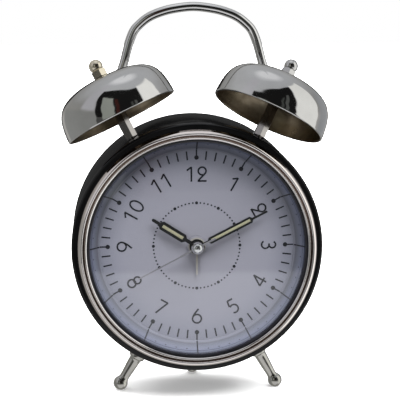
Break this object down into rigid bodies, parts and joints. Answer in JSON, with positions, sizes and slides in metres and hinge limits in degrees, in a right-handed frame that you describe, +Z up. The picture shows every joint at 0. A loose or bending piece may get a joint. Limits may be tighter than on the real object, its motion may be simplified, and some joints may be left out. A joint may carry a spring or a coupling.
{
  "type": "twin-bell alarm clock",
  "caption": "Small round alarm clock with a black drum case, chrome bezel, domed glass, bells on posts, hoop handle and splayed feet.",
  "frame": {"origin": "bottom centre of the clock's box, on the plane that the three feet stand on", "axes": "+Z up, -Y the way the dial faces, +X to the viewer's right when facing the dial"},
  "size_m": [0.1127, 0.0657, 0.1661],
  "materials": {
    "case_paint": "gloss black enamel",
    "chrome": "polished",
    "pale_brass": "polished, slightly worn plating",
    "plated_steel": "zinc plated",
    "lens_glass": "clear",
    "gasket_rubber": "matte",
    "dial_print": "matte pale lavender grey with black print",
    "ring_plastic": "satin",
    "white_plastic": "satin",
    "black_plastic": "fine matte",
    "hand_paint": "satin black",
    "lume": "matte luminous filling",
    "silver": "satin silver",
    "battery_jacket": "gloss",
    "board": "satin",
    "copper": "enamelled copper wire"
  },
  "bodies": {
    "case": {"back_cover": "black_plastic", "battery_cell": "battery_jacket", "battery_contact_leaf": "plated_steel", "battery_contact_spring": "plated_steel", "battery_tray": "black_plastic", "bell_cap_nut_left": "pale_brass", "bell_cap_nut_right": "chrome", "bell_left": "chrome", "bell_post_left": "chrome", "bell_post_nut_left": "plated_steel", "bell_post_nut_right": "plated_steel", "bell_post_right": "chrome", "bell_right": "chrome", "buzzer": "black_plastic", "case_drum": "case_paint", "circuit_board": "board", "control_chip": "black_plastic", "cover_screw_1": "plated_steel", "cover_screw_2": "plated_steel", "cover_screw_3": "plated_steel", "dial": "dial_print", "dial_ring": "ring_plastic", "foot_left": "chrome", "foot_nut_left": "plated_steel", "foot_nut_rear": "plated_steel", "foot_nut_right": "plated_steel", "foot_rear": "chrome", "foot_right": "chrome", "front_bezel": "chrome", "handle": "chrome", "handle_nut_left": "plated_steel", "handle_nut_right": "plated_steel", "inner_frame": "white_plastic", "lens": "lens_glass", "lens_gasket": "gasket_rubber", "movement_front": "white_plastic", "movement_rear": "white_plastic", "quartz_crystal": "plated_steel", "stator": "plated_steel", "stepper_coil": "copper"},
    "minute_drive": {"cannon_pinion": "plated_steel", "minute_hand": "hand_paint", "minute_hand_lume": "lume"},
    "hour_drive": {"hour_wheel": "white_plastic", "hour_hand": "hand_paint", "hour_hand_lume": "lume"},
    "minute_wheel_body": {"minute_wheel": "white_plastic"},
    "time_knob_body": {"time_set_knob": "black_plastic"},
    "second_drive": {"seconds_wheel": "white_plastic", "second_hand": "silver", "second_hand_cap": "chrome"},
    "intermediate_body": {"intermediate_wheel": "white_plastic"},
    "rotor_body": {"rotor": "plated_steel"},
    "third_body": {"third_wheel": "white_plastic"},
    "centre_body": {"centre_wheel": "white_plastic"},
    "alarm_drive": {"alarm_wheel": "white_plastic", "alarm_hand": "silver"},
    "alarm_knob_body": {"alarm_set_knob": "black_plastic"},
    "switch_body": {"alarm_switch": "white_plastic"},
    "door_body": {"battery_door": "black_plastic"}
  },
  "joints": [
    {"name": "minute_turn", "type": "hinge", "parent": "case", "child": "minute_drive", "pos_m": [0, -0.0151, 0.0648], "axis": [0, 1, 0], "continuous": true},
    {"name": "hour_turn", "type": "hinge", "parent": "case", "child": "hour_drive", "pos_m": [0, -0.0151, 0.0648], "axis": [0, 1, 0], "continuous": true},
    {"name": "minute_wheel_turn", "type": "hinge", "parent": "case", "child": "minute_wheel_body", "pos_m": [0.0076, -0.0151, 0.0648], "axis": [0, 1, 0], "continuous": true},
    {"name": "time_knob_turn", "type": "hinge", "parent": "case", "child": "time_knob_body", "pos_m": [0.0152, -0.0151, 0.0648], "axis": [0, 1, 0], "continuous": true},
    {"name": "second_turn", "type": "hinge", "parent": "case", "child": "second_drive", "pos_m": [0, -0.0151, 0.0648], "axis": [0, 1, 0], "continuous": true},
    {"name": "intermediate_turn", "type": "hinge", "parent": "case", "child": "intermediate_body", "pos_m": [0, -0.0151, 0.0558], "axis": [0, 1, 0], "continuous": true},
    {"name": "rotor_turn", "type": "hinge", "parent": "case", "child": "rotor_body", "pos_m": [0.00758, -0.0151, 0.05143], "axis": [0, 1, 0], "continuous": true},
    {"name": "third_turn", "type": "hinge", "parent": "case", "child": "third_body", "pos_m": [0, -0.0151, 0.0756], "axis": [0, 1, 0], "continuous": true},
    {"name": "centre_turn", "type": "hinge", "parent": "case", "child": "centre_body", "pos_m": [0, -0.0151, 0.0648], "axis": [0, 1, 0], "continuous": true},
    {"name": "alarm_turn", "type": "hinge", "parent": "case", "child": "alarm_drive", "pos_m": [0, -0.0151, 0.0648], "axis": [0, 1, 0], "continuous": true},
    {"name": "alarm_knob_turn", "type": "hinge", "parent": "case", "child": "alarm_knob_body", "pos_m": [-0.012, -0.0151, 0.0648], "axis": [0, 1, 0], "continuous": true},
    {"name": "switch_slide", "type": "slide", "parent": "case", "child": "switch_body", "axis": [1, 0, 0], "range_m": [0, 0.005]},
    {"name": "door_hinge", "type": "hinge", "parent": "case", "child": "door_body", "pos_m": [0, 0.02445, 0.03095], "axis": [-1, 0, 0], "range_deg": [0, 95]}
  ],
  "couplings": [
    {"joint": "hour_turn", "follows": "minute_turn", "ratio": 0.083333},
    {"joint": "minute_wheel_turn", "follows": "minute_turn", "ratio": -0.33333},
    {"joint": "time_knob_turn", "follows": "minute_turn", "ratio": 1},
    {"joint": "intermediate_turn", "follows": "second_turn", "ratio": -5},
    {"joint": "rotor_turn", "follows": "second_turn", "ratio": 30},
    {"joint": "third_turn", "follows": "second_turn", "ratio": -0.125},
    {"joint": "centre_turn", "follows": "second_turn", "ratio": 0.016667},
    {"joint": "alarm_knob_turn", "follows": "alarm_turn", "ratio": -2}
  ]
}
